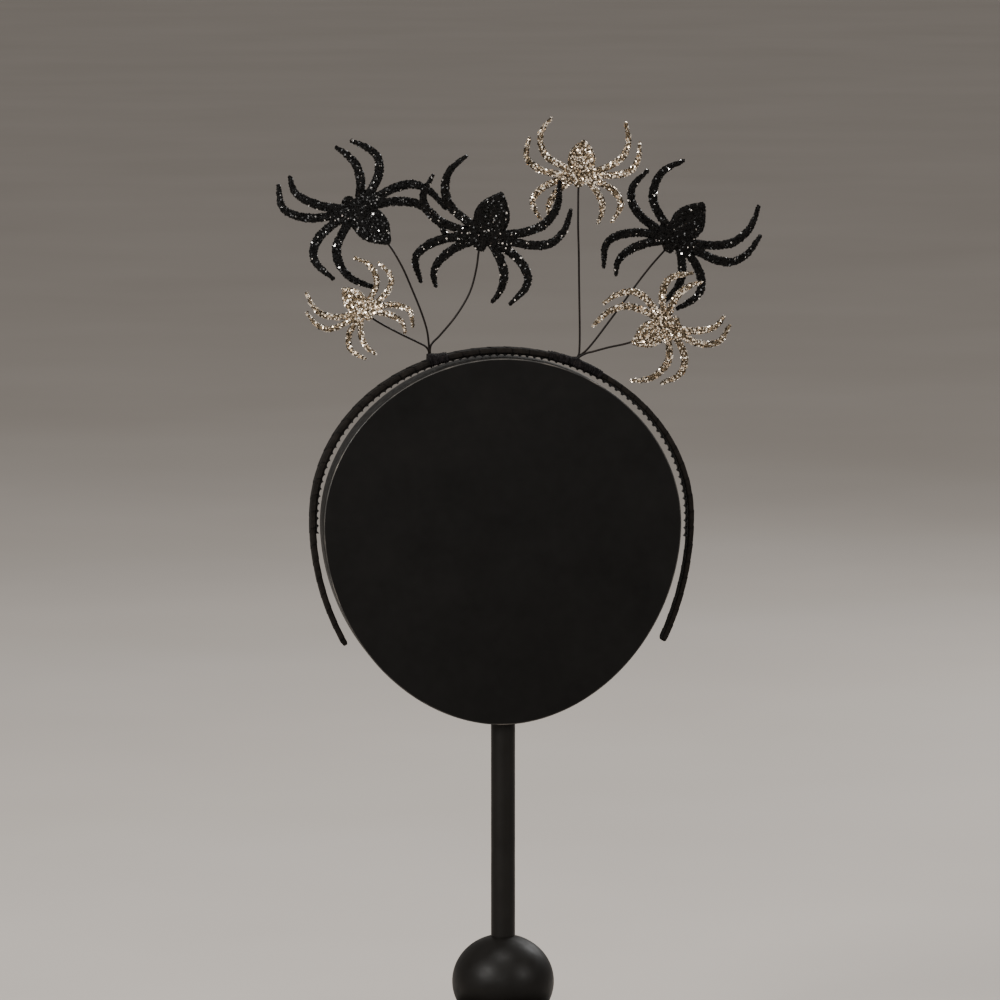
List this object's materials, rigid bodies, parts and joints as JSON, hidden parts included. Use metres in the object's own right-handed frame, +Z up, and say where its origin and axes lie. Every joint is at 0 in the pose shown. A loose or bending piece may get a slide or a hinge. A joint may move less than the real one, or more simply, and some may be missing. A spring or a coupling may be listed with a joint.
{
  "type": "spider headband on display stand",
  "caption": "Costume headband with flat glitter spiders on thin wire stems, resting on an egg-shaped board on a post with a turned ball and a round base.",
  "frame": {"origin": "middle of the base's underside", "axes": "+Z up, X across the headband from left to right as seen from the front, +Y towards the back"},
  "size_m": [0.1907, 0.13, 0.3781],
  "materials": {
    "ribbon": "black ribbon wound in overlapping turns",
    "binding": "black thread and ribbon, lumpy",
    "comb": "plain black",
    "wire": "black-brown lacquer",
    "black_glitter": "covered with fine black glitter",
    "gold_glitter": "covered with pale gold glitter",
    "board": "flat black paint",
    "turned": "satin black paint"
  },
  "bodies": {
    "root": {"band": "ribbon", "comb": "comb", "wrap_left": "binding", "wrap_right": "binding", "stem_a": "wire", "stem_b": "wire", "stem_c": "wire", "stem_d": "wire", "stem_e": "wire", "stem_f": "wire", "spider_a": "black_glitter", "spider_b": "black_glitter", "spider_c": "gold_glitter", "spider_d": "gold_glitter", "spider_e": "black_glitter", "spider_f": "gold_glitter", "stand_board": "board", "stand_post": "turned", "stand_ball": "turned", "stand_base": "turned"}
  },
  "joints": []
}
